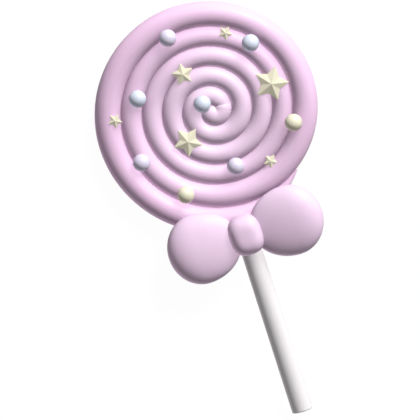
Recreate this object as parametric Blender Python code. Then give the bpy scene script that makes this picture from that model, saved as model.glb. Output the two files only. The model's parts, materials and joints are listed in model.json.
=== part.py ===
"""A large swirl lollipop, lying on its back.

A thick sugar rope is coiled into a disc. Pearls and faceted stars of sugar are pressed
into its front, and a moulded bow of two puffed lobes and a knot sits where the stick
meets the disc. The origin is the middle of the coil on the surface that the lollipop
lies on. +Z is the decorated front, and the stick points along -Y.
"""
import math

import bmesh
import bpy
from mathutils import Matrix, Vector

MM = 0.001

# Gap left between pieces that touch.
GAP = 0.3 * MM

# Edges sharper than this are shaded crisp.
SHARP_ANGLE = math.radians(40)
STAR_SHARP_ANGLE = math.radians(5)

# Points closer than this are merged.
MERGE_DISTANCE = 0.005 * MM

# Sides around and rings from pole to pole.
ROPE_BEVEL_RESOLUTION = 4
HEAD_FACETS = (20, 12)
CORE_FACETS = (24, 12)
BOW_FACETS = (32, 16)
PEARL_FACETS = (18, 10)
STICK_SIDES = 32

# Blocks that cut a flat back: wide enough for the whole disc, or for the knot.
DISC_BLOCK = (400 * MM, 20 * MM)
KNOT_BLOCK = (40 * MM, 20 * MM)

# The sugar rope and its coil.
ROPE_RADIUS = 4.15 * MM
OUTER_ROPE_RADIUS = 5.15 * MM
THICKENING_TURNS = (3.7, 4.55)
CONTACT = 0.965
START_ANGLE = math.radians(175.7)
FIRST_TURN = 0.35
LAST_TURN = 5.366
END_TAPER_TURNS = 0.115
END_RADIUS = 0.4 * MM
BEND_SHARE = 0.86
BULGE_ANGLE = math.radians(162)
BULGE_SHARE = 0.012
REST_SHARE = 0.89
HEAD_TURNS = (0.2, 0.5)
HEAD_BALLS = 4
HEAD_EXTRA = 0.45 * MM
ROPE_STEP = 3.5 * MM
LARGEST_TURN_STEP = 1 / 22
CORE_RADIUS = 8.0 * MM
CORE_HALF_HEIGHT = 3.2 * MM
CORE_Z = 2.4 * MM

# The stick.
STICK_RADIUS = 4.3 * MM
STICK_X = -1.95 * MM
STICK_HEIGHT = 4.5 * MM
STICK_END_Y = -126.9 * MM
STICK_TOP_Y = -44.0 * MM
STICK_EDGE = 0.35 * MM

# The bow: one lobe each side of a knot.
BOW_X = -2.35 * MM
BOW_Y = -50.9 * MM
LOBE_MIDDLE = 19.1 * MM
LOBE_OUTER = 13.0 * MM
LOBE_INNER = 16.8 * MM
LOBE_HALF_HEIGHT = 14.25 * MM
LOBE_HALF_DEPTH = 8.6 * MM
LOBE_PINCH = 0.42
LOBE_Z = 10.0 * MM
LOBE_POWER = 2.6
KNOT_HALF_SIZE = (6.95 * MM, 8.3 * MM, 10.0 * MM)
KNOT_Z = 8.5 * MM
KNOT_POWERS = (2.6, 3.4)
KNOT_BACK_Z = 2.0 * MM

# Pearls: place in the plane of the disc, and colour.
PEARL_RADIUS = 3.52 * MM
PEARL_RISE = 0.25
PEARLS = (
    ("upper_left", -8.0, 33.7, "lilac"),
    ("upper_right", 22.8, 21.8, "blue"),
    ("left", -26.8, 14.1, "blue"),
    ("centre", -2.9, 4.2, "blue"),
    ("lower_left", -33.1, -10.7, "lilac"),
    ("lower", 2.3, -23.7, "lilac"),
    ("right", 29.5, -13.8, "cream"),
    ("bottom", -20.2, -28.4, "cream"),
)

# Stars: place, tip radius, and the angle of one tip.
STAR_POINTS = 5
STAR_NOTCH = 0.565
STAR_RISE = 0.2
STAR_WALL = 0.16
STAR_LIFT = 0.45 * MM
STARS = (
    ("large", 25.8, 3.5, 7.24, 58.95),
    ("medium", -12.9, -8.5, 6.04, 41.35),
    ("small", -6.7, 17.9, 4.56, 14.25),
    ("tiny_top", 14.5, 28.4, 3.0, 43.0),
    ("tiny_left", -38.0, 8.6, 3.0, 43.0),
    ("tiny_bottom", 16.2, -26.1, 3.0, 43.0),
)

# Linear colour, roughness.
FINISHES = {
    "rope_candy": ((0.93, 0.67, 0.87, 1.0), 0.42),
    "bow_candy": ((0.93, 0.70, 0.89, 1.0), 0.44),
    "pearl_blue": ((0.75, 0.82, 0.92, 1.0), 0.34),
    "pearl_lilac": ((0.81, 0.78, 0.92, 1.0), 0.34),
    "pearl_cream": ((0.90, 0.88, 0.71, 1.0), 0.34),
    "star_sugar": ((0.88, 0.85, 0.69, 1.0), 0.55),
    "stick_paper": ((0.93, 0.915, 0.915, 1.0), 0.6),
}


def clear_scene():
    """Remove the objects that are already in the file."""
    for found in list(bpy.data.objects):
        bpy.data.objects.remove(found, do_unlink=True)


def make_collection(name):
    """A new collection in the scene."""
    collection = bpy.data.collections.new(name)
    bpy.context.scene.collection.children.link(collection)
    return collection


def make_material(name):
    """A Principled material with the colour and roughness from the table."""
    colour, roughness = FINISHES[name]
    material = bpy.data.materials.new(name)
    material.use_nodes = True
    shader = material.node_tree.nodes["Principled BSDF"]
    shader.inputs["Base Color"].default_value = colour
    shader.inputs["Roughness"].default_value = roughness
    shader.inputs["Metallic"].default_value = 0.0
    material.diffuse_color = colour
    return material


def add_object(name, mesh, collection, finish=None):
    """Link a mesh into a collection, smooth-shaded but for its sharp edges."""
    piece = bpy.data.objects.new(name, mesh)
    collection.objects.link(piece)
    if finish is not None:
        mesh.materials.append(make_material(finish))
    mesh.shade_smooth()
    mesh.set_sharp_from_angle(angle=SHARP_ANGLE)
    return piece


def mesh_from(shape, name):
    """Turn a bmesh into a mesh and free it."""
    bmesh.ops.recalc_face_normals(shape, faces=shape.faces)
    mesh = bpy.data.meshes.new(name)
    shape.to_mesh(mesh)
    shape.free()
    return mesh


def as_guide(piece):
    """Mark an object as a cutter, which isn't part of the lollipop."""
    piece.hide_render = True
    piece.display_type = "WIRE"
    return piece


def cut(piece, cutter, operation="DIFFERENCE", own_folds=False):
    """Apply a Boolean of one object on another."""
    boolean = piece.modifiers.new(operation.lower(), "BOOLEAN")
    boolean.object = cutter
    boolean.operation = operation
    boolean.solver = "EXACT"
    boolean.use_self = own_folds
    bake_modifiers(piece)


def bake_modifiers(piece):
    """Replace an object's mesh by its evaluated mesh, with no modifier left."""
    depsgraph = bpy.context.evaluated_depsgraph_get()
    baked = bpy.data.meshes.new_from_object(piece.evaluated_get(depsgraph))
    piece.modifiers.clear()
    piece.data = baked


def smooth_step(value):
    """Rise smoothly from 0 to 1 as the value goes from 0 to 1."""
    held = min(max(value, 0.0), 1.0)
    return held * held * (3.0 - 2.0 * held)


def full_rope_radius(turn):
    """The rope's radius before its ends are drawn out."""
    start, end = THICKENING_TURNS
    share = smooth_step((turn - start) / (end - start))
    return ROPE_RADIUS + (OUTER_ROPE_RADIUS - ROPE_RADIUS) * share


def even_coil_radius(turn):
    """Distance of the rope's centreline from the middle: each turn lies on the one before."""
    if turn < 1.0:
        return turn * 2.0 * CONTACT * ROPE_RADIUS
    pair = full_rope_radius(turn) + full_rope_radius(turn - 1.0)
    return even_coil_radius(turn - 1.0) + CONTACT * pair


def bend_radius(turn):
    """The tightest bend of an even spiral at this turn."""
    reach = even_coil_radius(turn)
    growth = CONTACT * ROPE_RADIUS / math.pi
    return (reach ** 2 + growth ** 2) ** 1.5 / (reach ** 2 + 2.0 * growth ** 2)


def end_share(turn):
    """1 along the coil, falling to 0 at its outer end."""
    return min(max((LAST_TURN - turn) / END_TAPER_TURNS, 0.0), 1.0)


def rope_radius(turn):
    """The rope's radius, drawn out at the tight core and at the tucked-in outer end."""
    drawn = min(full_rope_radius(turn), BEND_SHARE * bend_radius(turn))
    return END_RADIUS + (drawn - END_RADIUS) * end_share(turn)


def coil_angle(turn):
    """Direction of the rope's centreline from the middle."""
    return START_ANGLE + 2.0 * math.pi * turn


def bulge(angle):
    """How much wider the hand-laid coil is along one direction."""
    return 1.0 + BULGE_SHARE * math.cos(angle - BULGE_ANGLE) ** 2


def rope_point(turn):
    """A point of the centreline, and the rope's radius there."""
    angle = coil_angle(turn)
    drawn_in = CONTACT * (full_rope_radius(turn) - rope_radius(turn))
    reach = even_coil_radius(turn) - (0.0 if turn < 1.0 else drawn_in)
    reach = reach * bulge(angle)
    radius = rope_radius(turn) * bulge(angle)
    height = REST_SHARE * full_rope_radius(turn) * bulge(angle)
    return Vector((math.cos(angle) * reach, math.sin(angle) * reach, height)), radius


def rope_turns():
    """Turn numbers along the rope, closer together where it bends tightly."""
    turns = [FIRST_TURN]
    while turns[-1] < LAST_TURN:
        reach = even_coil_radius(turns[-1])
        step = min(ROPE_STEP / (2.0 * math.pi * reach), LARGEST_TURN_STEP)
        turns.append(turns[-1] + step)
    turns[-1] = LAST_TURN
    return turns


def head_balls():
    """Places and radii of the balls that keep the curled inner end as thick as the rope."""
    first, last = HEAD_TURNS
    for number in range(HEAD_BALLS):
        share = number / (HEAD_BALLS - 1)
        place, _ = rope_point(first + (last - first) * share)
        yield place, ROPE_RADIUS + HEAD_EXTRA * (1.0 - share)


def rope_mesh(name, extra):
    """The coiled rope as one tube with a rounded inner end, grown by a clearance."""
    curve = bpy.data.curves.new(name, "CURVE")
    curve.dimensions = "3D"
    curve.twist_mode = "Z_UP"
    curve.bevel_depth = ROPE_RADIUS
    curve.bevel_resolution = ROPE_BEVEL_RESOLUTION
    curve.use_fill_caps = True
    turns = rope_turns()
    spline = curve.splines.new("POLY")
    spline.points.add(len(turns) - 1)
    for point, turn in zip(spline.points, turns):
        place, radius = rope_point(turn)
        point.co = (*place, 1.0)
        point.radius = (radius + extra) / ROPE_RADIUS
    holder = bpy.data.objects.new(name, curve)
    bpy.context.scene.collection.objects.link(holder)
    depsgraph = bpy.context.evaluated_depsgraph_get()
    mesh = bpy.data.meshes.new_from_object(holder.evaluated_get(depsgraph))
    bpy.data.objects.remove(holder)
    shape = bmesh.new()
    shape.from_mesh(mesh)
    bmesh.ops.remove_doubles(shape, verts=shape.verts, dist=MERGE_DISTANCE)
    around, rings = HEAD_FACETS
    for place, radius in head_balls():
        bmesh.ops.create_uvsphere(shape, u_segments=around, v_segments=rings,
                                  radius=radius + extra, matrix=Matrix.Translation(place))
    return mesh_from(shape, name)


def ball_mesh(name, radius, facets):
    """A sphere about the origin."""
    around, rings = facets
    shape = bmesh.new()
    bmesh.ops.create_uvsphere(shape, u_segments=around, v_segments=rings, radius=radius)
    return mesh_from(shape, name)


def back_cutter(name, block, x, y, back_z, guides):
    """A block whose top face is at a height, to cut a flat back."""
    width, depth = block
    shape = bmesh.new()
    size = Matrix.Diagonal((width, width, depth, 1.0))
    middle = Matrix.Translation((x, y, back_z - depth / 2))
    bmesh.ops.create_cube(shape, size=1.0, matrix=middle @ size)
    return as_guide(add_object(name, mesh_from(shape, name), guides))


def crest_near(x, y, reach):
    """The highest rope crest whose centreline passes within a distance of a place."""
    highest = 0.0
    for turn in rope_turns():
        place, radius = rope_point(turn)
        if math.hypot(place.x - x, place.y - y) < reach:
            highest = max(highest, place.z + radius)
    return highest


def build_swirl(parts, guides):
    """The coiled rope with its core, flattened where it lay to set."""
    swirl = add_object("swirl", rope_mesh("swirl", 0.0), parts, "rope_candy")
    core = add_object("core", ball_mesh("core", CORE_RADIUS, CORE_FACETS), guides)
    core.scale.z = CORE_HALF_HEIGHT / CORE_RADIUS
    core.location.z = CORE_Z
    cut(swirl, core, "UNION", own_folds=True)
    bpy.data.objects.remove(core)
    cut(swirl, back_cutter("below_disc", DISC_BLOCK, 0.0, 0.0, 0.0, guides))


def stick_mesh(name, extra, chamfer):
    """The stick, a round rod along Y."""
    shape = bmesh.new()
    length = STICK_TOP_Y - STICK_END_Y
    turned = Matrix.Rotation(math.radians(90), 4, "X")
    middle = Matrix.Translation((STICK_X, (STICK_TOP_Y + STICK_END_Y) / 2, STICK_HEIGHT))
    bmesh.ops.create_cone(shape, cap_ends=True, segments=STICK_SIDES,
                          radius1=STICK_RADIUS + extra, radius2=STICK_RADIUS + extra,
                          depth=length, matrix=middle @ turned)
    if chamfer > 0.0:
        rim = [edge for edge in shape.edges
               if all(abs(end.co.y - STICK_END_Y) < MERGE_DISTANCE for end in edge.verts)]
        bmesh.ops.bevel(shape, geom=rim, offset=chamfer, segments=1, affect="EDGES")
    return mesh_from(shape, name)


def rounded_power(value, power):
    """A signed power, which squares off or rounds a form."""
    return math.copysign(abs(value) ** power, value)


def build_lobe(name, side, parts):
    """One puffed lobe of the bow, fuller at its outer end, narrower and thinner at the knot."""
    around, rings = BOW_FACETS
    shape = bmesh.new()
    bmesh.ops.create_uvsphere(shape, u_segments=around, v_segments=rings, radius=1.0)
    for vertex in shape.verts:
        unit = vertex.co
        x = unit.x * (LOBE_OUTER if unit.x > 0.0 else LOBE_INNER)
        half_depth = LOBE_HALF_DEPTH * (1.0 - LOBE_PINCH * (1.0 - unit.x) / 2)
        z = rounded_power(unit.z, 2.0 / LOBE_POWER) * half_depth
        vertex.co = Vector((BOW_X + side * (LOBE_MIDDLE + x),
                            BOW_Y + unit.y * LOBE_HALF_HEIGHT, LOBE_Z + z))
    return add_object(name, mesh_from(shape, name), parts, "bow_candy")


def knot_mesh(name, extra):
    """The knot, a block with generously rounded sides."""
    around, rings = BOW_FACETS
    shape = bmesh.new()
    bmesh.ops.create_uvsphere(shape, u_segments=around, v_segments=rings, radius=1.0)
    flat_power, deep_power = (2.0 / power for power in KNOT_POWERS)
    half_x, half_y, half_z = (size + extra for size in KNOT_HALF_SIZE)
    for vertex in shape.verts:
        unit = vertex.co.copy()
        turned = math.atan2(unit.y, unit.x)
        ring = max(1.0 - unit.z ** 2, 0.0) ** (deep_power / 2.0)
        x = ring * rounded_power(math.cos(turned), flat_power) * half_x
        y = ring * rounded_power(math.sin(turned), flat_power) * half_y
        z = rounded_power(unit.z, deep_power) * half_z
        vertex.co = Vector((BOW_X + x, BOW_Y + y, KNOT_Z + z))
    return mesh_from(shape, name)


def build_pearl(name, x, y, tint, parts):
    """One sugar pearl, pressed into the rope."""
    pearl = add_object(name, ball_mesh(name, PEARL_RADIUS, PEARL_FACETS), parts,
                       "pearl_" + tint)
    crest = crest_near(x, y, ROPE_RADIUS + PEARL_RADIUS)
    pearl.location = (x, y, crest + PEARL_RISE * PEARL_RADIUS)
    return pearl


def build_star(name, x, y, tip, angle, parts):
    """One faceted star: a cone with every second corner drawn in, on a low wall."""
    corners = 2 * STAR_POINTS
    shape = bmesh.new()
    rise = STAR_RISE * tip
    bmesh.ops.create_cone(shape, cap_ends=True, segments=corners, radius1=tip, radius2=0.0,
                          depth=rise, matrix=Matrix.Translation((0.0, 0.0, rise / 2)))
    bmesh.ops.remove_doubles(shape, verts=shape.verts, dist=MERGE_DISTANCE)
    rim = [vertex for vertex in shape.verts if vertex.co.z < rise / 2]
    rim.sort(key=lambda vertex: math.atan2(vertex.co.y, vertex.co.x))
    for number, vertex in enumerate(rim):
        reach = tip if number % 2 == 0 else tip * STAR_NOTCH
        turned = math.radians(angle) + 2.0 * math.pi * number / corners
        vertex.co = Vector((reach * math.cos(turned), reach * math.sin(turned), 0.0))
    base = [face for face in shape.faces if len(face.verts) == corners]
    wall = bmesh.ops.extrude_face_region(shape, geom=base)
    lowered = [item for item in wall["geom"] if isinstance(item, bmesh.types.BMVert)]
    depth = STAR_WALL * tip + 2.0 * STAR_LIFT
    bmesh.ops.translate(shape, verts=lowered, vec=(0.0, 0.0, -depth))
    bmesh.ops.delete(shape, geom=base, context="FACES_ONLY")
    star = add_object(name, mesh_from(shape, name), parts, "star_sugar")
    star.data.set_sharp_from_angle(angle=STAR_SHARP_ANGLE)
    star.location = (x, y, crest_near(x, y, tip + ROPE_RADIUS / 2) + STAR_LIFT)
    return star


def main():
    """Build the lollipop."""
    clear_scene()
    parts = make_collection("swirl_lollipop")
    guides = make_collection("guides")
    build_swirl(parts, guides)

    rope_room = as_guide(add_object("rope_room", rope_mesh("rope_room", GAP), guides))
    stick_room = as_guide(add_object("stick_room", stick_mesh("stick_room", GAP, 0.0), guides))
    knot_room = as_guide(add_object("knot_room", knot_mesh("knot_room", GAP), guides))

    stick = add_object("stick", stick_mesh("stick", 0.0, STICK_EDGE), parts, "stick_paper")
    cut(stick, rope_room, own_folds=True)

    knot = add_object("bow_knot", knot_mesh("bow_knot", 0.0), parts, "bow_candy")
    cut(knot, rope_room, own_folds=True)
    cut(knot, stick_room)
    cut(knot, back_cutter("behind_knot", KNOT_BLOCK, BOW_X, BOW_Y, KNOT_BACK_Z, guides))

    for name, side in (("bow_lobe_left", -1.0), ("bow_lobe_right", 1.0)):
        lobe = build_lobe(name, side, parts)
        cut(lobe, knot_room)
        cut(lobe, rope_room, own_folds=True)

    for name, x, y, tint in PEARLS:
        pearl = build_pearl("pearl_" + name, x * MM, y * MM, tint, parts)
        cut(pearl, rope_room, own_folds=True)

    for name, x, y, tip, angle in STARS:
        star = build_star("star_" + name, x * MM, y * MM, tip * MM, angle, parts)
        cut(star, rope_room, own_folds=True)


main()
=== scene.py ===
"""Looks of the swirl lollipop: fine meshes, sugar and paper finishes, soft light and camera.

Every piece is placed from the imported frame, in metres. The camera looks down on the
lollipop, which lies on its back on a pale floor.
"""

import json
import math

import bpy
import numpy as np
from mathutils import Matrix, Vector, noise


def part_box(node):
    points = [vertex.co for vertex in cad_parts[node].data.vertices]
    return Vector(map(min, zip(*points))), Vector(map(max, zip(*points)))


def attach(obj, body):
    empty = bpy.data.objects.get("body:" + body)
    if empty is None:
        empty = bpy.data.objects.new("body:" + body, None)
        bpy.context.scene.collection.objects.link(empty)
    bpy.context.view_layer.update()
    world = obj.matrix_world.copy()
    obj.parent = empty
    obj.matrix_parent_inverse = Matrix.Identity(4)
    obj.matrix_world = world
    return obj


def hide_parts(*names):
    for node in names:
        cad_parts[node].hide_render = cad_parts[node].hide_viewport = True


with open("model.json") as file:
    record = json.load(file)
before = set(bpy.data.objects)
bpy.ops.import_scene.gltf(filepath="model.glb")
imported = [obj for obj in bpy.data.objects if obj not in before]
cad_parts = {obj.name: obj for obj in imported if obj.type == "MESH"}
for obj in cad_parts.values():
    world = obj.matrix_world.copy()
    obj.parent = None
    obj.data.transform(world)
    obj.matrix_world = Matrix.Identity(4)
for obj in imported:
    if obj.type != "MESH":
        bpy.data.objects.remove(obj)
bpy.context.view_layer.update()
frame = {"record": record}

MM = 0.001
BODY = "root"
SLOTS = {part["node"]: part["material_slot"] for part in frame["record"]["subparts"]}

# The sugar rope and its coil, as in the solids.
ROPE_RADIUS = 4.15 * MM
OUTER_ROPE_RADIUS = 5.15 * MM
THICKENING_TURNS = (3.7, 4.55)
CONTACT = 0.965
START_ANGLE = math.radians(175.7)
FIRST_TURN = 0.35
LAST_TURN = 5.366
END_TAPER_TURNS = 0.115
END_RADIUS = 0.4 * MM
BEND_SHARE = 0.86
BULGE_ANGLE = math.radians(162)
BULGE_SHARE = 0.012
REST_SHARE = 0.89
HEAD_TURNS = (0.2, 0.5)
HEAD_BALLS = 9
HEAD_EXTRA = 0.45 * MM
CORE_RADIUS = 8.0 * MM
CORE_HALF_HEIGHT = 3.2 * MM
CORE_Z = 2.4 * MM

# Fineness of the rope's mesh, and how uneven the hand-rolled rope is.
ROPE_STEP = 1.4 * MM
LARGEST_TURN_STEP = 1 / 80
ROPE_SIDES_RESOLUTION = 10
ROPE_WAVES = ((2.3, 0.9, 0.008), (5.6, 2.1, 0.005))
SKIN_WAVE = 0.035 * MM
SKIN_WAVE_LENGTH = 7.0 * MM
FLAT_BELOW = 0.15 * MM

# The stick. Its paper's rings are shares of its radius.
STICK_TOP_Y = -44.0 * MM
STICK_EDGE = 0.3 * MM
STICK_SIDES = 96
PAPER_EDGE = 0.07 * MM
PAPER_SEAM = math.radians(-55)
PAPER_RINGS = (0.128, 0.112, 0.144, 0.16, 0.192)
PAPER_RING_DEPTH = 0.05 * MM

# The bow: the same rounded forms as the solids. Powers above 2 make a form fuller.
LOBE_MIDDLE = 19.1 * MM
LOBE_OUTER = 13.0 * MM
LOBE_INNER = 16.8 * MM
LOBE_HALF_HEIGHT = 14.25 * MM
LOBE_HALF_DEPTH = 8.6 * MM
LOBE_PINCH = 0.42
LOBE_Z = 10.0 * MM
LOBE_POWER = 2.6
KNOT_HALF_SIZE = (6.95 * MM, 8.3 * MM, 10.0 * MM)
KNOT_Z = 8.5 * MM
KNOT_POWERS = (2.6, 3.4)
KNOT_BACK_Z = 2.0 * MM
BOW_X = -2.35 * MM
BOW_Y = -50.9 * MM

# Toppings. A star's rise, wall and edge are shares of its reach.
PEARL_RADIUS = 3.52 * MM
PEARL_WAVE = 0.06 * MM
PEARL_WAVE_LENGTH = 4.0 * MM
PEARL_LEAN = math.radians(35)
PEARL_TURN = math.radians(76)
STAR_POINTS = 5
STAR_NOTCH = 0.565
STAR_RISE = 0.2
STAR_WALL = 0.16
STAR_LIFT = 0.45 * MM
STAR_EDGE = 0.012
STAR_EDGE_ANGLE = math.radians(8)

# Stars: place and reach in millimetres, and the angle of one tip in degrees.
STARS = (
    ("star_large", 25.8, 3.5, 7.24, 58.95),
    ("star_medium", -12.9, -8.5, 6.04, 41.35),
    ("star_small", -6.7, 17.9, 4.56, 14.25),
    ("star_tiny_top", 14.5, 28.4, 3.0, 43.0),
    ("star_tiny_left", -38.0, 8.6, 3.0, 43.0),
    ("star_tiny_bottom", 16.2, -26.1, 3.0, 43.0),
)

# Segments and rings of the round forms.
HEAD_FACETS = (40, 26)
CORE_FACETS = (48, 24)
BOW_FACETS = (96, 64)
PEARL_FACETS = (48, 32)

# Points closer than the first are one, and within the second they are in one plane.
MERGE_DISTANCE = 0.005 * MM
SAME_PLANE = 0.01 * MM

# Blocks that cut a flat back, and the gap between the knot and the lobes.
DISC_BLOCK = 200 * MM
KNOT_BLOCK = 60 * MM
KNOT_GAP = 0.02 * MM

# Edges sharper than this many degrees stay crisp.
ROUND_CREASE = 50
STICK_CREASE = 35
STAR_CREASE = 3

# Linear colours of the finishes.
ROPE_PALE = (0.95, 0.72, 0.925)
ROPE_PINK = (0.94, 0.63, 0.88)
ROPE_STREAK = (0.96, 0.775, 0.945)
BOW_PINK = (0.93, 0.69, 0.90)
BOW_PALE = (0.95, 0.735, 0.93)
PEARL_TINTS = {
    "pearl_blue": ((0.75, 0.815, 0.955), (0.81, 0.855, 0.97)),
    "pearl_lilac": ((0.82, 0.765, 0.95), (0.87, 0.815, 0.965)),
    "pearl_cream": ((0.915, 0.872, 0.665), (0.935, 0.892, 0.72)),
}
STAR_CREAM = (0.905, 0.856, 0.645)
STAR_PALE = (0.945, 0.907, 0.723)
PAPER_WHITE = (0.955, 0.922, 0.93)
PAPER_SHADE = (0.925, 0.892, 0.904)

# Painted shade: the grey with which sugar lights other surfaces, and how much of it is taken, so
# that the grooves between the turns and the shaded sides stay dark.
PAINTED_SHADE_GREY = (0.25, 0.215, 0.245)
PAINTED_SHADE_SHARE = 0.85

# Skin of each finish: depth of its grain, depth of its dimples, roughness.
SKINS = {
    "rope": (0.12, 0.25, 0.42),
    "bow": (0.12, 0.3, 0.44),
    "pearl": (0.05, 0.12, 0.34),
    "star": (0.3, 0.1, 0.55),
    "paper": (0.2, 0.1, 0.6),
}
GRAIN_SCALE = 3000.0
DIMPLE_SCALE = 260.0
SKIN_HEIGHT = 0.1 * MM
ROUGHNESS_SHIFT = 0.05

# Mottling of each finish: scale of its noise, and the largest share of the second colour.
MOTTLES = {
    "bow": (90.0, 0.5),
    "pearl": (300.0, 0.6),
    "star": (700.0, 0.7),
    "paper": (900.0, 0.6),
}
NOISE_SPREAD = (0.3, 0.7)

# The rope's colour turns from pale to pink between these distances from the middle. Its
# streaks are this long and wide, and cover this share of it.
PINK_REACH = (4 * MM, 46 * MM)
STREAK_LENGTH = 14 * MM
STREAK_WIDTH = 0.7 * MM
STREAK_SPREAD = (0.35, 0.75)
STREAK_SHARE = 0.35
FIBRE_STRETCH = (1.0, 0.08, 1.0)

# Points whose place along the rope is worked out at one time, to spare memory.
CHUNK = 2000

# How light enters sugar, and how much each surface shines.
SUGAR_DEPTH = 0.04
STAR_DEPTH = 0.03
SCATTER_RADIUS = (1.0, 0.8, 0.9)
SCATTER_SCALE = 1.2 * MM
SUGAR_SHINE = 0.25
PAPER_SHINE = 0.35
PEARL_COAT = 0.25
PEARL_COAT_ROUGHNESS = 0.3

# The view: the lollipop is tipped and turned as in the photograph.
FRAME_WIDTH = 168.0 * MM
LENS = 400.0
SENSOR = 36.0
TIP_ANGLE = math.radians(7.5)
TURN_ANGLE = math.radians(72.35)
AIM = Vector((-12.83, -37.4, 8.0)) * MM
CLIP_END = 10.0

# Lights: directions along the camera's right, up and back, then sizes and powers.
LIGHT_DISTANCE = 3.0
KEY_WAY = (0.40, 0.70, 0.60)
RIM_WAY = (-0.40, -0.70, -0.60)
KEY_LAMP = (1.7, 36.0)
OPEN_LAMP = (1.2, 86.0)
RIM_LAMP = (1.2, 42.0)
WHITE = (1.0, 1.0, 1.0)
RIM_COLOUR = (1.0, 0.95, 1.0)
SKY_STRENGTH = 0.116

# The floor: its size in metres, its grey as other surfaces and as the camera see it, and
# its glow to the camera.
FLOOR_SIZE = 4.0
FLOOR_GREY = 0.45
FLOOR_SEEN_GREY = 0.2
FLOOR_GLOW = 0.86


def only(piece):
    """Select one object and make it active."""
    bpy.ops.object.select_all(action="DESELECT")
    piece.select_set(True)
    bpy.context.view_layer.objects.active = piece


def added(name):
    """Name the object that an operator has just added."""
    piece = bpy.context.active_object
    piece.name = name
    piece.data.name = name
    return piece


def settle(piece):
    """Put an object's place, turn and size into its mesh."""
    only(piece)
    bpy.ops.object.transform_apply(location=True, rotation=True, scale=True)
    return piece


def finish_with(piece, kind, **settings):
    """Add a modifier with these settings and apply it."""
    only(piece)
    modifier = piece.modifiers.new(kind.lower(), kind)
    for key, value in settings.items():
        setattr(modifier, key, value)
    bpy.ops.object.modifier_apply(modifier=modifier.name)
    return piece


def cut_by(piece, cutter, operation="DIFFERENCE", solver="MANIFOLD", own_folds=False):
    """Cut or join one closed mesh with another."""
    only(piece)
    boolean = piece.modifiers.new(operation.lower(), "BOOLEAN")
    boolean.object = cutter
    boolean.operation = operation
    boolean.solver = solver
    if solver == "EXACT":
        boolean.use_self = own_folds
    bpy.ops.object.modifier_apply(modifier=boolean.name)
    return piece


def reshape(piece, rule):
    """Move every vertex by a rule that takes and gives a place."""
    for vertex in piece.data.vertices:
        vertex.co = rule(vertex.co.copy())
    piece.data.update()


def add_ball(facets, radius, place=(0.0, 0.0, 0.0)):
    """A sphere with this many segments and rings, added to what is being edited if anything is."""
    segments, rings = facets
    bpy.ops.mesh.primitive_uv_sphere_add(segments=segments, ring_count=rings, radius=radius,
                                         location=place)


def copied(piece, name):
    """A copy of a piece with a mesh of its own."""
    only(piece)
    bpy.ops.object.duplicate()
    return added(name)


def mirrored(piece, name):
    """A copy of a piece on the other side of the bow's middle."""
    twin = copied(piece, name)
    reshape(twin, lambda place: Vector((2.0 * BOW_X - place.x, place.y, place.z)))
    turn_out(twin)
    return twin


def turn_out(piece):
    """Point all faces outwards."""
    only(piece)
    bpy.ops.object.mode_set(mode="EDIT")
    bpy.ops.mesh.select_all(action="SELECT")
    bpy.ops.mesh.normals_make_consistent(inside=False)
    bpy.ops.object.mode_set(mode="OBJECT")


def select_faces(piece, rule):
    """Leave selected the faces that a rule picks, and nothing else."""
    only(piece)
    bpy.ops.object.mode_set(mode="EDIT")
    bpy.ops.mesh.select_all(action="DESELECT")
    bpy.ops.object.mode_set(mode="OBJECT")
    for face in piece.data.polygons:
        face.select = rule(face)


def back_block(name, size, x, y, top_z):
    """A block whose top face is at a height, to cut a flat back."""
    bpy.ops.mesh.primitive_cube_add(size=size, location=(x, y, top_z - size / 2))
    return added(name)


def rounded_power(value, power):
    """A signed power, which squares off or rounds a form."""
    return math.copysign(abs(value) ** power, value)


def smooth(piece, angle):
    """Shade a piece smooth, with edges sharper than an angle kept crisp."""
    only(piece)
    bpy.ops.object.shade_smooth_by_angle(angle=math.radians(angle))


def smooth_step(value):
    """Rise smoothly from 0 to 1 as the value goes from 0 to 1."""
    held = min(max(value, 0.0), 1.0)
    return held * held * (3.0 - 2.0 * held)


def full_rope_radius(turn):
    """The rope's radius before its ends are drawn out."""
    start, end = THICKENING_TURNS
    share = smooth_step((turn - start) / (end - start))
    return ROPE_RADIUS + (OUTER_ROPE_RADIUS - ROPE_RADIUS) * share


def even_coil_radius(turn):
    """Distance of the rope's centreline from the middle: each turn lies on the one before."""
    if turn < 1.0:
        return turn * 2.0 * CONTACT * ROPE_RADIUS
    pair = full_rope_radius(turn) + full_rope_radius(turn - 1.0)
    return even_coil_radius(turn - 1.0) + CONTACT * pair


def bend_radius(turn):
    """The tightest bend of an even spiral at this turn."""
    reach = even_coil_radius(turn)
    growth = CONTACT * ROPE_RADIUS / math.pi
    return (reach ** 2 + growth ** 2) ** 1.5 / (reach ** 2 + 2.0 * growth ** 2)


def end_share(turn):
    """1 along the coil, falling to 0 at its outer end."""
    return min(max((LAST_TURN - turn) / END_TAPER_TURNS, 0.0), 1.0)


def rope_radius(turn):
    """The rope's radius, drawn out at the tight core and at the tucked-in outer end."""
    drawn = min(full_rope_radius(turn), BEND_SHARE * bend_radius(turn))
    return END_RADIUS + (drawn - END_RADIUS) * end_share(turn)


def coil_angle(turn):
    """Direction of the rope's centreline from the middle."""
    return START_ANGLE + 2.0 * math.pi * turn


def bulge(angle):
    """How much wider the hand-laid coil is along one direction."""
    return 1.0 + BULGE_SHARE * math.cos(angle - BULGE_ANGLE) ** 2


def hand_rolled(turn):
    """Slight swells and thinnings along the rope."""
    return 1.0 + sum(size * math.sin(2.0 * math.pi * pace * turn + start)
                     for pace, start, size in ROPE_WAVES)


def rope_point(turn):
    """A point of the centreline, and the rope's radius there."""
    angle = coil_angle(turn)
    drawn_in = CONTACT * (full_rope_radius(turn) - rope_radius(turn))
    reach = even_coil_radius(turn) - (0.0 if turn < 1.0 else drawn_in)
    reach = reach * bulge(angle)
    radius = rope_radius(turn) * bulge(angle) * hand_rolled(turn)
    height = REST_SHARE * full_rope_radius(turn) * bulge(angle)
    return Vector((math.cos(angle) * reach, math.sin(angle) * reach, height)), radius


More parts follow.
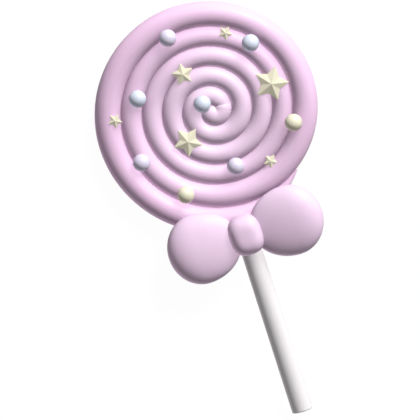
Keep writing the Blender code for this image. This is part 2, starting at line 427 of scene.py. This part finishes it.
def rope_turns():
    """Turn numbers along the rope, closer together where it bends tightly."""
    turns = [FIRST_TURN]
    while turns[-1] < LAST_TURN:
        reach = even_coil_radius(turns[-1])
        turns.append(turns[-1] + min(ROPE_STEP / (2.0 * math.pi * reach), LARGEST_TURN_STEP))
    turns[-1] = LAST_TURN
    return turns


def crest_near(x, y, reach):
    """The highest rope crest whose centreline passes within a distance of a place."""
    highest = 0.0
    for turn in rope_turns():
        place, radius = rope_point(turn)
        if math.hypot(place.x - x, place.y - y) < reach:
            highest = max(highest, place.z + radius / hand_rolled(turn))
    return highest


def head_balls():
    """Places and radii of the balls that keep the curled inner end as thick as the rope."""
    first, last = HEAD_TURNS
    for number in range(HEAD_BALLS):
        share = number / (HEAD_BALLS - 1)
        place, _ = rope_point(first + (last - first) * share)
        yield place, ROPE_RADIUS + HEAD_EXTRA * (1.0 - share)


def coil_rope():
    """The rope as one long tube along its spiral, with a rounded inner end, made a mesh."""
    curve = bpy.data.curves.new("rope", "CURVE")
    curve.dimensions = "3D"
    curve.twist_mode = "Z_UP"
    curve.bevel_depth = ROPE_RADIUS
    curve.bevel_resolution = ROPE_SIDES_RESOLUTION
    curve.use_fill_caps = True
    turns = rope_turns()
    spline = curve.splines.new("POLY")
    spline.points.add(len(turns) - 1)
    for point, turn in zip(spline.points, turns):
        place, radius = rope_point(turn)
        point.co = (*place, 1.0)
        point.radius = radius / ROPE_RADIUS
    rope = bpy.data.objects.new("candy_swirl", curve)
    bpy.context.scene.collection.objects.link(rope)
    only(rope)
    bpy.ops.object.convert(target="MESH")
    rope = added("candy_swirl")
    bpy.ops.object.mode_set(mode="EDIT")
    bpy.ops.mesh.select_all(action="SELECT")
    bpy.ops.mesh.remove_doubles(threshold=MERGE_DISTANCE)
    for place, radius in head_balls():
        add_ball(HEAD_FACETS, radius, place)
    bpy.ops.object.mode_set(mode="OBJECT")
    turn_out(rope)
    return rope


def make_swirl():
    """The coiled rope fused with its core, and flattened where it lay to set."""
    swirl = coil_rope()
    add_ball(CORE_FACETS, CORE_RADIUS, (0.0, 0.0, CORE_Z))
    core = added("core")
    core.scale.z = CORE_HALF_HEIGHT / CORE_RADIUS
    settle(core)
    cut_by(swirl, core, "UNION", "EXACT", own_folds=True)
    bpy.data.objects.remove(core)
    slab = back_block("slab", DISC_BLOCK, 0.0, 0.0, 0.0)
    cut_by(swirl, slab, "DIFFERENCE", "EXACT")
    bpy.data.objects.remove(slab)
    return swirl


def soften_skin(piece, depth, length, flat_below=-math.inf):
    """Push the skin in and out a little, as hand-made sugar is, but not where it lies flat."""
    normals = [vertex.normal.copy() for vertex in piece.data.vertices]
    for vertex, normal in zip(piece.data.vertices, normals):
        if vertex.co.z > flat_below:
            vertex.co += normal * (depth * noise.noise(vertex.co / length))
    piece.data.update()


def make_lobe(name):
    """The right lobe of the bow, puffed, fuller at its outer end, narrower and thinner at
    the knot."""
    add_ball(BOW_FACETS, 1.0)
    lobe = added(name)

    def onto_lobe(unit):
        reach = LOBE_OUTER if unit.x > 0.0 else LOBE_INNER
        half_depth = LOBE_HALF_DEPTH * (1.0 - LOBE_PINCH * (1.0 - unit.x) / 2)
        z = rounded_power(unit.z, 2.0 / LOBE_POWER) * half_depth
        return Vector((BOW_X + LOBE_MIDDLE + unit.x * reach,
                       BOW_Y + unit.y * LOBE_HALF_HEIGHT, LOBE_Z + z))

    reshape(lobe, onto_lobe)
    return lobe


def make_knot(name, extra=0.0):
    """The knot, a block with generously rounded sides."""
    add_ball(BOW_FACETS, 1.0)
    knot = added(name)
    flat_power, deep_power = (2.0 / power for power in KNOT_POWERS)
    half_x, half_y, half_z = (size + extra for size in KNOT_HALF_SIZE)

    def onto_knot(unit):
        turned = math.atan2(unit.y, unit.x)
        ring = max(1.0 - unit.z ** 2, 0.0) ** (deep_power / 2.0)
        x = ring * rounded_power(math.cos(turned), flat_power) * half_x
        y = ring * rounded_power(math.sin(turned), flat_power) * half_y
        return Vector((BOW_X + x, BOW_Y + y, KNOT_Z + rounded_power(unit.z, deep_power) * half_z))

    reshape(knot, onto_knot)
    return knot


def make_stick():
    """The rolled paper stick, with the edge of the paper along it and rings at its end."""
    low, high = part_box("stick")
    radius = (high.x - low.x) / 2
    middle = (low + high) / 2
    bpy.ops.mesh.primitive_cylinder_add(vertices=STICK_SIDES, radius=radius,
                                        depth=STICK_TOP_Y - low.y,
                                        location=(middle.x, (STICK_TOP_Y + low.y) / 2, middle.z),
                                        rotation=(math.radians(90), 0.0, 0.0))
    stick = settle(added("paper_stick"))
    ring_end(stick, low.y, radius, middle)
    roll_paper(stick, middle)
    return stick


def roll_paper(stick, axis):
    """Make the section a turn of a spiral, so that the paper's outer edge shows along the stick."""
    def onto_spiral(place):
        away = Vector((place.x - axis.x, 0.0, place.z - axis.z))
        around = (math.atan2(away.z, away.x) - PAPER_SEAM) % (2.0 * math.pi)
        side = away.normalized() * max(away.length - PAPER_EDGE * around / (2.0 * math.pi), 0.0)
        return Vector((axis.x + side.x, place.y, axis.z + side.z))

    reshape(stick, onto_spiral)


def ring_end(stick, end_y, radius, axis):
    """Soften the free end's rim and step its face in rings, like rolled paper."""
    select_faces(stick, lambda face: abs(face.center.y - end_y) < SAME_PLANE)
    bpy.ops.object.mode_set(mode="EDIT")
    bpy.ops.mesh.inset(thickness=STICK_EDGE)
    for number, share in enumerate(PAPER_RINGS):
        depth = PAPER_RING_DEPTH if number % 2 == 0 else -PAPER_RING_DEPTH
        bpy.ops.mesh.inset(thickness=share * radius, depth=-depth)
    bpy.ops.object.mode_set(mode="OBJECT")
    for vertex in stick.data.vertices:
        away = math.hypot(vertex.co.x - axis.x, vertex.co.z - axis.z)
        if abs(vertex.co.y - end_y) < SAME_PLANE and away > radius - STICK_EDGE / 2:
            vertex.co.y += STICK_EDGE
    stick.data.update()


def make_pearl():
    """One sugar pearl about the origin, a little out of round."""
    add_ball(PEARL_FACETS, PEARL_RADIUS)
    pearl = added("pearl")
    bpy.ops.transform.rotate(value=PEARL_LEAN, orient_axis="X", center_override=(0, 0, 0))
    settle(pearl)
    soften_skin(pearl, PEARL_WAVE, PEARL_WAVE_LENGTH)
    return pearl


def press_pearl(pearl, node, number):
    """A copy of the pearl at the place of its node, turned its own way."""
    low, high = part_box(node)
    middle = (low + high) / 2
    piece = copied(pearl, "sugar_" + node)
    piece.rotation_euler.z = PEARL_TURN * number
    piece.location = (middle.x, middle.y, high.z - PEARL_RADIUS)
    return settle(piece)


def make_star():
    """A pressed star of one unit's reach: a cone with every second corner drawn in."""
    corners = 2 * STAR_POINTS
    bpy.ops.mesh.primitive_cone_add(vertices=corners, radius1=1.0, radius2=0.0, depth=STAR_RISE,
                                    location=(0.0, 0.0, STAR_RISE / 2))
    star = settle(added("star"))
    rim = [vertex for vertex in star.data.vertices if vertex.co.z < STAR_RISE / 2]
    rim.sort(key=lambda vertex: math.atan2(vertex.co.y, vertex.co.x))
    for number, vertex in enumerate(rim):
        reach = 1.0 if number % 2 == 0 else STAR_NOTCH
        turned = 2.0 * math.pi * number / corners
        vertex.co = Vector((reach * math.cos(turned), reach * math.sin(turned), 0.0))
    select_faces(star, lambda face: len(face.vertices) == corners)
    bpy.ops.object.mode_set(mode="EDIT")
    bpy.ops.mesh.extrude_region_move(TRANSFORM_OT_translate={"value": (0.0, 0.0, -STAR_WALL)})
    bpy.ops.object.mode_set(mode="OBJECT")
    turn_out(star)
    finish_with(star, "BEVEL", width=STAR_EDGE, segments=2, limit_method="ANGLE",
                angle_limit=STAR_EDGE_ANGLE)
    return star


def press_star(star, node, x, y, tip, angle):
    """A copy of the star at its own size and place, reaching down into the rope."""
    piece = copied(star, "sugar_" + node)
    piece.scale = (tip, tip, tip)
    piece.rotation_euler.z = math.radians(angle)
    piece.location = (x, y, crest_near(x, y, tip + ROPE_RADIUS / 2) + STAR_LIFT)
    settle(piece)
    base = min(vertex.co.z for vertex in piece.data.vertices)
    for vertex in piece.data.vertices:
        if vertex.co.z < base + STAR_WALL * tip / 2:
            vertex.co.z -= 2.0 * STAR_LIFT
    piece.data.update()
    return piece


class Wiring:
    """Short names for making and joining shader nodes in one tree."""

    def __init__(self, tree):
        self.tree = tree

    def add(self, kind, **settings):
        """A new node with these settings."""
        node = self.tree.nodes.new(kind)
        for key, value in settings.items():
            setattr(node, key, value)
        return node

    def join(self, source, target):
        """Link an output to an input."""
        self.tree.links.new(source, target)

    def maths(self, operation, first, second=None):
        """A Math node's output; numbers are set and sockets are linked."""
        node = self.add("ShaderNodeMath", operation=operation)
        for socket, value in zip(node.inputs, (first, second)):
            if value is None:
                continue
            if isinstance(value, (int, float)):
                socket.default_value = value
            else:
                self.join(value, socket)
        return node.outputs[0]

    def blend(self, share, first, second):
        """A colour mixed by a share; colours are set and sockets are linked."""
        node = self.add("ShaderNodeMix", data_type="RGBA")
        self.join(share, node.inputs["Factor"])
        for socket, value in ((node.inputs["A"], first), (node.inputs["B"], second)):
            if isinstance(value, tuple):
                socket.default_value = value
            else:
                self.join(value, socket)
        return node.outputs["Result"]

    def ramp(self, value, low, high, start=0.0, end=1.0):
        """A value carried smoothly from one range to another."""
        node = self.add("ShaderNodeMapRange", interpolation_type="SMOOTHSTEP")
        self.join(value, node.inputs["Value"])
        node.inputs["From Min"].default_value = low
        node.inputs["From Max"].default_value = high
        node.inputs["To Min"].default_value = start
        node.inputs["To Max"].default_value = end
        return node.outputs["Result"]


def colour_input(value):
    """A colour with full alpha."""
    return (*value, 1.0)


def new_group(name, inputs, outputs):
    """A shader node group with named float or colour sockets, and its wiring."""
    tree = bpy.data.node_groups.new(name, "ShaderNodeTree")
    for label, kind, value in inputs:
        socket = tree.interface.new_socket(name=label, in_out="INPUT", socket_type=kind)
        if value is not None:
            socket.default_value = value
    for label, kind in outputs:
        tree.interface.new_socket(name=label, in_out="OUTPUT", socket_type=kind)
    wiring = Wiring(tree)
    return tree, wiring, wiring.add("NodeGroupInput"), wiring.add("NodeGroupOutput")


def sugar_skin_group():
    """Fine grain and soft dimples of a sugar surface, as a normal and a roughness."""
    tree, wiring, given, made = new_group(
        "sugar_skin",
        (("Vector", "NodeSocketVector", None),
         ("Grain Scale", "NodeSocketFloat", GRAIN_SCALE),
         ("Grain Depth", "NodeSocketFloat", 0.2),
         ("Dimple Scale", "NodeSocketFloat", DIMPLE_SCALE),
         ("Dimple Depth", "NodeSocketFloat", 0.2),
         ("Roughness", "NodeSocketFloat", 0.4)),
        (("Normal", "NodeSocketVector"), ("Roughness", "NodeSocketFloat")))
    grain = wiring.add("ShaderNodeTexNoise")
    wiring.join(given.outputs["Vector"], grain.inputs["Vector"])
    wiring.join(given.outputs["Grain Scale"], grain.inputs["Scale"])
    grain.inputs["Detail"].default_value = 2.0
    dimple = wiring.add("ShaderNodeTexNoise")
    wiring.join(given.outputs["Vector"], dimple.inputs["Vector"])
    wiring.join(given.outputs["Dimple Scale"], dimple.inputs["Scale"])
    dimple.inputs["Detail"].default_value = 1.0
    fine = wiring.maths("MULTIPLY", grain.outputs["Fac"], given.outputs["Grain Depth"])
    broad = wiring.maths("MULTIPLY", dimple.outputs["Fac"], given.outputs["Dimple Depth"])
    bump = wiring.add("ShaderNodeBump")
    bump.inputs["Strength"].default_value = 1.0
    bump.inputs["Distance"].default_value = SKIN_HEIGHT
    wiring.join(wiring.maths("ADD", fine, broad), bump.inputs["Height"])
    wiring.join(bump.outputs["Normal"], made.inputs["Normal"])
    shift = wiring.ramp(dimple.outputs["Fac"], *NOISE_SPREAD, -ROUGHNESS_SHIFT, ROUGHNESS_SHIFT)
    wiring.join(wiring.maths("ADD", given.outputs["Roughness"], shift), made.inputs["Roughness"])
    return tree


def new_finish(name):
    """A material with its shader and wiring."""
    material = bpy.data.materials.new(name)
    material.use_nodes = True
    wiring = Wiring(material.node_tree)
    return material, wiring, material.node_tree.nodes["Principled BSDF"]


def add_skin(wiring, shader, group, place, kind):
    """Put the sugar skin into a material, with the values of its kind."""
    grain, dimple, roughness = SKINS[kind]
    skin = wiring.add("ShaderNodeGroup", node_tree=group)
    wiring.join(place, skin.inputs["Vector"])
    skin.inputs["Grain Depth"].default_value = grain
    skin.inputs["Dimple Depth"].default_value = dimple
    skin.inputs["Roughness"].default_value = roughness
    wiring.join(skin.outputs["Normal"], shader.inputs["Normal"])
    wiring.join(skin.outputs["Roughness"], shader.inputs["Roughness"])


def mottle(wiring, place, kind):
    """A soft noise for the share of a second colour."""
    scale, most = MOTTLES[kind]
    texture = wiring.add("ShaderNodeTexNoise")
    wiring.join(place, texture.inputs["Vector"])
    texture.inputs["Scale"].default_value = scale
    texture.inputs["Detail"].default_value = 2.0
    return wiring.ramp(texture.outputs["Fac"], *NOISE_SPREAD, 0.0, most)


def rope_finish(group):
    """Pale pink pulled sugar: whiter in the middle of the coil, pinker at its rim, with
    fine streaks along the rope."""
    material, wiring, shader = new_finish("rope sugar")
    place = wiring.add("ShaderNodeTexCoord").outputs["Object"]
    flow = wiring.add("ShaderNodeAttribute", attribute_name="rope_flow").outputs["Vector"]
    flat = wiring.add("ShaderNodeVectorMath", operation="MULTIPLY")
    wiring.join(place, flat.inputs[0])
    flat.inputs[1].default_value = (1.0, 1.0, 0.0)
    away = wiring.add("ShaderNodeVectorMath", operation="LENGTH")
    wiring.join(flat.outputs["Vector"], away.inputs[0])
    rim = wiring.ramp(away.outputs["Value"], *PINK_REACH)
    body = wiring.blend(rim, colour_input(ROPE_PALE), colour_input(ROPE_PINK))
    streaks = wiring.add("ShaderNodeTexNoise")
    wiring.join(flow, streaks.inputs["Vector"])
    streaks.inputs["Scale"].default_value = 1.0
    streaks.inputs["Detail"].default_value = 3.0
    share = wiring.ramp(streaks.outputs["Fac"], *STREAK_SPREAD, 0.0, STREAK_SHARE)
    streaked = wiring.blend(share, body, colour_input(ROPE_STREAK))
    # Painted shade: bounced light sees a grey in place of the pink, so the grooves between the
    # turns stay dark.
    wiring.join(painted_bounce_shade(wiring, streaked), shader.inputs["Base Color"])
    add_skin(wiring, shader, group, place, "rope")
    set_sugar(shader, SUGAR_DEPTH)
    return material


def bow_finish(group):
    """Moulded pink sugar of the bow."""
    material, wiring, shader = new_finish("bow sugar")
    place = wiring.add("ShaderNodeTexCoord").outputs["Object"]
    share = mottle(wiring, place, "bow")
    mottled = wiring.blend(share, colour_input(BOW_PINK), colour_input(BOW_PALE))
    wiring.join(painted_bounce_shade(wiring, mottled), shader.inputs["Base Color"])
    add_skin(wiring, shader, group, place, "bow")
    set_sugar(shader, SUGAR_DEPTH)
    return material


def pearl_finish(name, group, body, tint):
    """A sugar pearl: a pale colour with a faint cloudy tint and a satin coat."""
    material, wiring, shader = new_finish(name.replace("_", " ") + " sugar")
    place = wiring.add("ShaderNodeTexCoord").outputs["Object"]
    share = mottle(wiring, place, "pearl")
    clouded = wiring.blend(share, colour_input(body), colour_input(tint))
    wiring.join(painted_bounce_shade(wiring, clouded), shader.inputs["Base Color"])
    add_skin(wiring, shader, group, place, "pearl")
    shader.inputs["Coat Weight"].default_value = PEARL_COAT
    shader.inputs["Coat Roughness"].default_value = PEARL_COAT_ROUGHNESS
    set_sugar(shader, SUGAR_DEPTH)
    return material


def star_finish(group):
    """Cream pressed sugar, a little grainy."""
    material, wiring, shader = new_finish("star sugar")
    place = wiring.add("ShaderNodeTexCoord").outputs["Object"]
    share = mottle(wiring, place, "star")
    grained = wiring.blend(share, colour_input(STAR_CREAM), colour_input(STAR_PALE))
    wiring.join(painted_bounce_shade(wiring, grained), shader.inputs["Base Color"])
    add_skin(wiring, shader, group, place, "star")
    set_sugar(shader, STAR_DEPTH)
    return material


def paper_finish(group):
    """White rolled paper with faint fibres along the stick."""
    material, wiring, shader = new_finish("stick paper")
    place = wiring.add("ShaderNodeTexCoord").outputs["Object"]
    along = wiring.add("ShaderNodeMapping")
    wiring.join(place, along.inputs["Vector"])
    along.inputs["Scale"].default_value = FIBRE_STRETCH
    share = mottle(wiring, along.outputs["Vector"], "paper")
    wiring.join(wiring.blend(share, colour_input(PAPER_WHITE), colour_input(PAPER_SHADE)),
                shader.inputs["Base Color"])
    add_skin(wiring, shader, group, along.outputs["Vector"], "paper")
    shader.inputs["Specular IOR Level"].default_value = PAPER_SHINE
    return material


def painted_bounce_shade(wiring, colour):
    """The colour, but greyer where it lights other surfaces: painted shade, which keeps the light
    bounced between the turns low, so that the grooves and shaded sides stay dark and turns don't
    redden each other."""
    onward = wiring.add("ShaderNodeLightPath").outputs["Is Diffuse Ray"]
    share = wiring.maths("MULTIPLY", onward, PAINTED_SHADE_SHARE)
    return wiring.blend(share, colour, colour_input(PAINTED_SHADE_GREY))


def set_sugar(shader, depth):
    """Light that enters sugar a little way and comes out again."""
    shader.inputs["Subsurface Weight"].default_value = depth
    shader.inputs["Subsurface Radius"].default_value = SCATTER_RADIUS
    shader.inputs["Subsurface Scale"].default_value = SCATTER_SCALE
    shader.inputs["Specular IOR Level"].default_value = SUGAR_SHINE


def store_flow(swirl):
    """Keep how far each point is along the rope, across it and up, for the streaks."""
    turns = np.array(rope_turns())
    path = np.array([rope_point(turn)[0] for turn in turns])
    steps = np.linalg.norm(np.diff(path[:, :2], axis=0), axis=1)
    lengths = np.concatenate(([0.0], np.cumsum(steps)))
    places = np.empty(len(swirl.data.vertices) * 3, dtype=np.float32)
    swirl.data.vertices.foreach_get("co", places)
    places = places.reshape(-1, 3)
    flow = np.zeros_like(places)
    reach = np.hypot(path[:, 0], path[:, 1])
    for start in range(0, len(places), CHUNK):
        part = places[start:start + CHUNK]
        gaps = np.linalg.norm(part[:, None, :2] - path[None, :, :2], axis=2)
        nearest = gaps.argmin(axis=1)
        across = np.hypot(part[:, 0], part[:, 1]) - reach[nearest]
        flow[start:start + CHUNK] = np.stack(
            (lengths[nearest] / STREAK_LENGTH, across / STREAK_WIDTH, part[:, 2] / STREAK_WIDTH),
            axis=1)
    attribute = swirl.data.attributes.new("rope_flow", "FLOAT_VECTOR", "POINT")
    attribute.data.foreach_set("vector", flow.ravel())


def dress(piece, node, finish):
    """Give a piece its finish and body, in place of its node."""
    piece.data.materials.clear()
    piece.data.materials.append(finish)
    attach(piece, BODY)
    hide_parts(node)


def build_lollipop():
    """Every piece, with its finish."""
    skin = sugar_skin_group()
    rope = rope_finish(skin)
    bow = bow_finish(skin)
    pressed = star_finish(skin)
    paper = paper_finish(skin)
    pearls = {name: pearl_finish(name, skin, *tints) for name, tints in PEARL_TINTS.items()}

    swirl = make_swirl()
    stick = make_stick()
    knot = make_knot("candy_bow_knot")
    knot_room = make_knot("knot_room", KNOT_GAP)
    back_room = back_block("back_room", KNOT_BLOCK, BOW_X, BOW_Y, KNOT_BACK_Z)
    cut_by(knot, back_room)
    cut_by(knot, swirl)
    cut_by(knot, stick)
    cut_by(stick, swirl)
    lobe = make_lobe("candy_bow_lobe_right")
    for node, piece in (("bow_lobe_left", mirrored(lobe, "candy_bow_lobe_left")),
                        ("bow_lobe_right", lobe)):
        cut_by(piece, knot_room)
        cut_by(piece, swirl)
        smooth(piece, ROUND_CREASE)
        dress(piece, node, bow)
    pearl = make_pearl()
    for number, node in enumerate(node for node in SLOTS if node.startswith("pearl_")):
        piece = press_pearl(pearl, node, number)
        cut_by(piece, swirl)
        smooth(piece, ROUND_CREASE)
        dress(piece, node, pearls[SLOTS[node]])
    star = make_star()
    for node, x, y, tip, angle in STARS:
        piece = press_star(star, node, x * MM, y * MM, tip * MM, angle)
        cut_by(piece, swirl)
        smooth(piece, STAR_CREASE)
        dress(piece, node, pressed)
    for spare in (knot_room, back_room, pearl, star):
        bpy.data.objects.remove(spare)
    smooth(stick, STICK_CREASE)
    dress(stick, "stick", paper)
    smooth(knot, ROUND_CREASE)
    dress(knot, "bow_knot", bow)
    soften_skin(swirl, SKIN_WAVE, SKIN_WAVE_LENGTH, FLAT_BELOW)
    store_flow(swirl)
    smooth(swirl, ROUND_CREASE)
    dress(swirl, "swirl", rope)


def camera_axes():
    """The camera's right, up and backward directions in the frame."""
    back = Vector((0.0, math.sin(TIP_ANGLE), math.cos(TIP_ANGLE)))
    up = Vector((math.cos(TURN_ANGLE), math.sin(TURN_ANGLE), 0.0))
    up = (up - back * up.dot(back)).normalized()
    return up.cross(back), up, back


def add_camera():
    """A long-lens camera that looks down on the lollipop."""
    right, up, back = camera_axes()
    data = bpy.data.cameras.new("camera")
    data.lens = LENS
    data.sensor_width = SENSOR
    camera = bpy.data.objects.new("camera", data)
    bpy.context.scene.collection.objects.link(camera)
    distance = FRAME_WIDTH / SENSOR * LENS
    data.clip_end = CLIP_END
    turn = Matrix((right, up, back)).transposed().to_4x4()
    camera.matrix_world = Matrix.Translation(AIM + back * distance) @ turn
    bpy.context.scene.camera = camera


def add_light(name, towards, lamp, colour, shadow=True, reflected=True):
    """A soft square light in a direction given along the camera's right, up and back, which
    may cast no shadows or not show in reflections."""
    right, up, back = camera_axes()
    way = (right * towards[0] + up * towards[1] + back * towards[2]).normalized()
    data = bpy.data.lights.new(name, "AREA")
    data.size, data.energy = lamp
    data.color = colour
    data.use_shadow = shadow
    light = bpy.data.objects.new(name, data)
    light.visible_glossy = reflected
    bpy.context.scene.collection.objects.link(light)
    light.location = way * LIGHT_DISTANCE
    light.rotation_mode = "QUATERNION"
    light.rotation_quaternion = way.to_track_quat("Z", "Y")


def add_floor():
    """A pale floor that glows a little, like a lit table."""
    bpy.ops.mesh.primitive_plane_add(size=FLOOR_SIZE, location=(0.0, 0.0, 0.0))
    floor = added("floor")
    material, wiring, shader = new_finish("pale floor")
    shader.inputs["Roughness"].default_value = 0.9
    shader.inputs["Specular IOR Level"].default_value = 0.1
    shader.inputs["Emission Color"].default_value = (1.0, 1.0, 1.0, 1.0)
    seen = wiring.add("ShaderNodeLightPath").outputs["Is Camera Ray"]
    grey = wiring.blend(seen, colour_input((FLOOR_GREY,) * 3), colour_input((FLOOR_SEEN_GREY,) * 3))
    wiring.join(grey, shader.inputs["Base Color"])
    wiring.join(wiring.maths("MULTIPLY", seen, FLOOR_GLOW), shader.inputs["Emission Strength"])
    floor.data.materials.append(material)


def add_studio():
    """A key light from the upper right, most of it without shadows, a weaker one opposite it,
    and a dim even sky, as the photo is lit."""
    add_light("key", KEY_WAY, KEY_LAMP, WHITE)
    add_light("key_open", KEY_WAY, OPEN_LAMP, WHITE, shadow=False)
    add_light("rim", RIM_WAY, RIM_LAMP, RIM_COLOUR, shadow=False, reflected=False)
    world = bpy.data.worlds.new("studio")
    world.use_nodes = True
    sky = world.node_tree.nodes["Background"]
    sky.inputs["Color"].default_value = (1.0, 1.0, 1.0, 1.0)
    sky.inputs["Strength"].default_value = SKY_STRENGTH
    bpy.context.scene.world = world
    bpy.context.scene.view_settings.view_transform = "Standard"
    bpy.context.scene.view_settings.look = "None"


build_lollipop()
add_floor()
add_camera()
add_studio()
